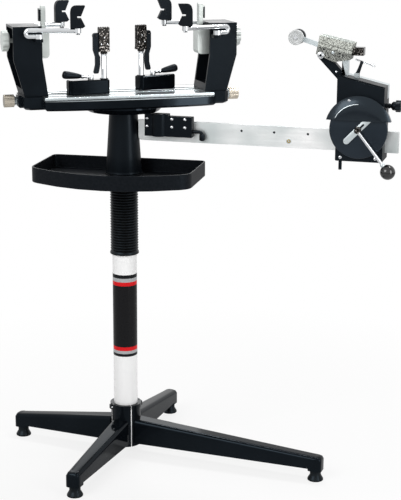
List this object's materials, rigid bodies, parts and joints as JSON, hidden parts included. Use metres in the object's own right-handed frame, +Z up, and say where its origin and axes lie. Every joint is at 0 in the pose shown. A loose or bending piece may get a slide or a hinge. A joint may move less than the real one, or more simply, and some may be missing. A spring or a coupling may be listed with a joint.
{
  "type": "racket stringing machine",
  "caption": "Floor-standing racket stringing machine: splayed base, telescoping column, tool tray, turntable with frame arms and string clamps, and a crank tension head on a side bar.",
  "frame": {"origin": "on the floor, under the middle of the outline's bounding box", "axes": "+Z up, +X along the rail bar from the column towards the tension head, -Y towards the person who strings"},
  "size_m": [1.1472, 0.7382, 1.3253],
  "materials": {
    "black_casting": "satin black powder coat",
    "foot_rubber": "matte black rubber",
    "white_tube": "gloss white paint",
    "inner_steel": "plain drawn steel",
    "boot_rubber": "ribbed black rubber",
    "tray_plastic": "fine textured black",
    "black_alloy": "satin black powder coat over cast alloy",
    "bar_alloy": "pale brushed alloy",
    "black_paint": "satin black coat",
    "track_steel": "polished face",
    "champagne_nickel": "satin nickel with a warm tint",
    "satin_alloy": "satin cast alloy",
    "arm_chrome": "bright plating",
    "adapter_plastic": "matte black moulding",
    "shoe_steel": "plain steel",
    "lever_plastic": "black moulded grip on a bright hub",
    "post_chrome": "bright plating",
    "dark_nickel": "dark nickel plating",
    "lever_black": "black coat",
    "head_grey": "pale grey sheet sides, black arm and peg",
    "gripper_grey": "bead-blasted warm grey",
    "crank_steel": "bright steel",
    "ball_plastic": "gloss black",
    "roller_plastic": "milky front disc, black rear disc",
    "trip_black": "black handle, thin bright rod"
  },
  "bodies": {
    "base": {"leg_right": "black_casting", "leg_back": "black_casting", "leg_left": "black_casting", "leg_front": "black_casting", "foot_right": "foot_rubber", "foot_back": "foot_rubber", "foot_left": "foot_rubber", "foot_front": "foot_rubber", "stand_tube": "white_tube", "column_boot": "boot_rubber"},
    "column": {"inner_tube": "inner_steel", "tool_tray": "tray_plastic", "neck": "black_alloy", "rail_bar": "bar_alloy", "bar_bracket": "black_paint"},
    "brake_lever": {"brake_lever": "ball_plastic"},
    "turntable": {"turntable": "black_alloy", "track_front": "track_steel", "track_rear": "track_steel"},
    "carriage": {"head_body": "head_grey", "head_cover": "black_paint", "disc_guard": "black_paint"},
    "crank": {"winder_disc": "black_paint", "crank_arm": "crank_steel", "crank_ball": "ball_plastic"},
    "tension_knob": {"tension_knob": "ball_plastic"},
    "gripper": {"gripper_body": "gripper_grey"},
    "gripper_jaw": {"gripper_jaw": "gripper_grey"},
    "guide_roller": {"guide_roller": "roller_plastic"},
    "trip_lever": {"trip_lever": "trip_black"},
    "tower_left": {"tower_left": "black_alloy", "frame_support_left": "satin_alloy"},
    "screw_left": {"screw_knob_left": "champagne_nickel"},
    "arm_knob_left": {"arm_knob_left": "satin_alloy"},
    "arm_left_front": {"arm_left_front": "arm_chrome"},
    "adapter_left_front": {"adapter_left_front": "adapter_plastic"},
    "arm_left_back": {"arm_left_back": "arm_chrome"},
    "adapter_left_back": {"adapter_left_back": "adapter_plastic"},
    "clamp_shoe_left": {"clamp_shoe_left": "shoe_steel"},
    "clamp_base_left": {"clamp_base_left": "black_paint"},
    "clamp_post_left": {"clamp_post_left": "post_chrome"},
    "clamp_head_left": {"clamp_head_left": "dark_nickel"},
    "clamp_jaw_left": {"clamp_jaw_left": "dark_nickel"},
    "clamp_lever_left": {"clamp_lever_left": "lever_black"},
    "lock_lever_left": {"lock_lever_left": "lever_plastic"},
    "tower_right": {"tower_right": "black_alloy", "frame_support_right": "satin_alloy"},
    "screw_right": {"screw_knob_right": "champagne_nickel"},
    "arm_knob_right": {"arm_knob_right": "satin_alloy"},
    "arm_right_front": {"arm_right_front": "arm_chrome"},
    "adapter_right_front": {"adapter_right_front": "adapter_plastic"},
    "arm_right_back": {"arm_right_back": "arm_chrome"},
    "adapter_right_back": {"adapter_right_back": "adapter_plastic"},
    "clamp_shoe_right": {"clamp_shoe_right": "shoe_steel"},
    "clamp_base_right": {"clamp_base_right": "black_paint"},
    "clamp_post_right": {"clamp_post_right": "post_chrome"},
    "clamp_head_right": {"clamp_head_right": "dark_nickel"},
    "clamp_jaw_right": {"clamp_jaw_right": "dark_nickel"},
    "clamp_lever_right": {"clamp_lever_right": "lever_black"},
    "lock_lever_right": {"lock_lever_right": "lever_plastic"}
  },
  "joints": [
    {"name": "column_height", "type": "slide", "parent": "base", "child": "column", "axis": [0, 0, 1], "range_m": [-0.04, 0.12], "deforming": ["column_boot"]},
    {"name": "brake_lever_swing", "type": "hinge", "parent": "column", "child": "brake_lever", "pos_m": [0.00852, -0.01631, 0.976], "axis": [-1, 0, 0], "range_deg": [0, 90]},
    {"name": "turntable_spin", "type": "hinge", "parent": "column", "child": "turntable", "pos_m": [-0.20648, 0.00199, 1.043], "axis": [0, 0, 1], "continuous": true},
    {"name": "tower_left_slide", "type": "slide", "parent": "turntable", "child": "tower_left", "axis": [0.8379, 0.5458, 0], "range_m": [-0.008, 0.035]},
    {"name": "screw_left_turn", "type": "hinge", "parent": "turntable", "child": "screw_left", "pos_m": [-0.45786, -0.16175, 1.062], "axis": [-0.8379, -0.5458, 0], "range_deg": [-365, 1580]},
    {"name": "arm_left_front_swing", "type": "hinge", "parent": "tower_left", "child": "arm_left_front", "pos_m": [-0.37229, -0.20149, 1.242], "axis": [0, 0, 1], "range_deg": [-8, 25]},
    {"name": "adapter_left_front_swivel", "type": "hinge", "parent": "arm_left_front", "child": "adapter_left_front", "pos_m": [-0.27413, -0.16869, 1.265], "axis": [0, 0, 1], "range_deg": [-40, 40]},
    {"name": "arm_left_back_swing", "type": "hinge", "parent": "tower_left", "child": "arm_left_back", "pos_m": [-0.45962, -0.06743, 1.242], "axis": [0, 0, 1], "range_deg": [-25, 8]},
    {"name": "adapter_left_back_swivel", "type": "hinge", "parent": "arm_left_back", "child": "adapter_left_back", "pos_m": [-0.38994, 0.0091, 1.265], "axis": [0, 0, 1], "range_deg": [-40, 40]},
    {"name": "arm_knob_left_turn", "type": "hinge", "parent": "tower_left", "child": "arm_knob_left", "pos_m": [-0.48383, -0.17867, 1.226], "axis": [-0.8379, -0.5458, 0], "range_deg": [-100, 305]},
    {"name": "clamp_left_slide", "type": "slide", "parent": "turntable", "child": "clamp_shoe_left", "axis": [0.8379, 0.5458, 0], "range_m": [-0.03, 0.045]},
    {"name": "clamp_left_swivel", "type": "hinge", "parent": "clamp_shoe_left", "child": "clamp_base_left", "pos_m": [-0.27348, -0.07745, 1.09], "axis": [0, 0, 1], "range_deg": [-75, 45]},
    {"name": "lock_left_turn", "type": "hinge", "parent": "clamp_base_left", "child": "lock_lever_left", "pos_m": [-0.27348, -0.07745, 1.118], "axis": [0, 0, 1], "range_deg": [-25, 60]},
    {"name": "clamp_post_left_lift", "type": "slide", "parent": "clamp_base_left", "child": "clamp_post_left", "axis": [0, 0, 1], "range_m": [-0.014, 0]},
    {"name": "clamp_head_left_turn", "type": "hinge", "parent": "clamp_post_left", "child": "clamp_head_left", "pos_m": [-0.24321, -0.05287, 1.187], "axis": [0, 0, 1], "continuous": true},
    {"name": "clamp_jaw_left_close", "type": "hinge", "parent": "clamp_head_left", "child": "clamp_jaw_left", "pos_m": [-0.24046, -0.05624, 1.20245], "axis": [-0.7763, -0.6304, 0], "range_deg": [-1.5, 2]},
    {"name": "clamp_lever_left_swing", "type": "hinge", "parent": "clamp_head_left", "child": "clamp_lever_left", "pos_m": [-0.26153, -0.06774, 1.236], "axis": [-0.6304, 0.7763, 0], "range_deg": [0, 70]},
    {"name": "tower_right_slide", "type": "slide", "parent": "turntable", "child": "tower_right", "axis": [-0.8379, -0.5458, 0], "range_m": [-0.008, 0.035]},
    {"name": "screw_right_turn", "type": "hinge", "parent": "turntable", "child": "screw_right", "pos_m": [0.04489, 0.16573, 1.062], "axis": [0.8379, 0.5458, 0], "range_deg": [-365, 1580]},
    {"name": "arm_right_front_swing", "type": "hinge", "parent": "tower_right", "child": "arm_right_front", "pos_m": [0.04666, 0.07141, 1.242], "axis": [0, 0, 1], "range_deg": [-25, 8]},
    {"name": "adapter_right_front_swivel", "type": "hinge", "parent": "arm_right_front", "child": "adapter_right_front", "pos_m": [-0.02302, -0.00511, 1.265], "axis": [0, 0, 1], "range_deg": [-40, 40]},
    {"name": "arm_right_back_swing", "type": "hinge", "parent": "tower_right", "child": "arm_right_back", "pos_m": [-0.04067, 0.20548, 1.242], "axis": [0, 0, 1], "range_deg": [-8, 25]},
    {"name": "adapter_right_back_swivel", "type": "hinge", "parent": "arm_right_back", "child": "adapter_right_back", "pos_m": [-0.13883, 0.17267, 1.265], "axis": [0, 0, 1], "range_deg": [-40, 40]},
    {"name": "arm_knob_right_turn", "type": "hinge", "parent": "tower_right", "child": "arm_knob_right", "pos_m": [0.07087, 0.18266, 1.226], "axis": [0.8379, 0.5458, 0], "range_deg": [-304, 101]},
    {"name": "clamp_right_slide", "type": "slide", "parent": "turntable", "child": "clamp_shoe_right", "axis": [0.8379, 0.5458, 0], "range_m": [-0.045, 0.03]},
    {"name": "clamp_right_swivel", "type": "hinge", "parent": "clamp_shoe_right", "child": "clamp_base_right", "pos_m": [-0.14409, 0.07844, 1.09], "axis": [0, 0, 1], "range_deg": [-75, 45]},
    {"name": "lock_right_turn", "type": "hinge", "parent": "clamp_base_right", "child": "lock_lever_right", "pos_m": [-0.14409, 0.07844, 1.118], "axis": [0, 0, 1], "range_deg": [-25, 60]},
    {"name": "clamp_post_right_lift", "type": "slide", "parent": "clamp_base_right", "child": "clamp_post_right", "axis": [0, 0, 1], "range_m": [-0.014, 0]},
    {"name": "clamp_head_right_turn", "type": "hinge", "parent": "clamp_post_right", "child": "clamp_head_right", "pos_m": [-0.16912, 0.04852, 1.187], "axis": [0, 0, 1], "continuous": true},
    {"name": "clamp_jaw_right_close", "type": "hinge", "parent": "clamp_head_right", "child": "clamp_jaw_right", "pos_m": [-0.16578, 0.04573, 1.20245], "axis": [-0.6417, -0.7669, 0], "range_deg": [-1.5, 2]},
    {"name": "clamp_lever_right_swing", "type": "hinge", "parent": "clamp_head_right", "child": "clamp_lever_right", "pos_m": [-0.15398, 0.06663, 1.236], "axis": [0.7669, -0.6417, 0], "range_deg": [0, 70]},
    {"name": "head_slide", "type": "slide", "parent": "column", "child": "carriage", "axis": [1, 0, 0], "range_m": [-0.2, 0.03]},
    {"name": "crank_turn", "type": "hinge", "parent": "carriage", "child": "crank", "pos_m": [0.46952, 0.00199, 1.01], "axis": [0, 1, 0], "range_deg": [-140, 905]},
    {"name": "tension_knob_turn", "type": "hinge", "parent": "carriage", "child": "tension_knob", "pos_m": [0.53452, -0.00801, 1.071], "axis": [1, 0, 0], "range_deg": [-720, 720]},
    {"name": "gripper_tilt", "type": "hinge", "parent": "carriage", "child": "gripper", "pos_m": [0.35752, 0.00199, 1.2], "axis": [0, 1, 0], "range_deg": [-4, 0]},
    {"name": "gripper_jaw_slide", "type": "slide", "parent": "gripper", "child": "gripper_jaw", "axis": [0, 1, 0], "range_m": [-0.0015, 0.0008]},
    {"name": "guide_roller_spin", "type": "hinge", "parent": "gripper", "child": "guide_roller", "pos_m": [0.28752, 0.00199, 1.244], "axis": [0, 1, 0], "continuous": true},
    {"name": "trip_lever_swing", "type": "hinge", "parent": "carriage", "child": "trip_lever", "pos_m": [0.45252, 0.00199, 1.14817], "axis": [0, 1, 0], "range_deg": [0, 6]}
  ],
  "couplings": [
    {"joint": "screw_left_turn", "follows": "tower_left_slide", "rad_per_m": 785.4},
    {"joint": "arm_left_back_swing", "follows": "arm_left_front_swing", "ratio": -1},
    {"joint": "arm_knob_left_turn", "follows": "arm_left_front_swing", "ratio": 12},
    {"joint": "screw_right_turn", "follows": "tower_right_slide", "rad_per_m": 785.4},
    {"joint": "arm_right_back_swing", "follows": "arm_right_front_swing", "ratio": -1},
    {"joint": "arm_knob_right_turn", "follows": "arm_right_front_swing", "ratio": 12},
    {"joint": "crank_turn", "follows": "head_slide", "rad_per_m": -78.54}
  ]
}
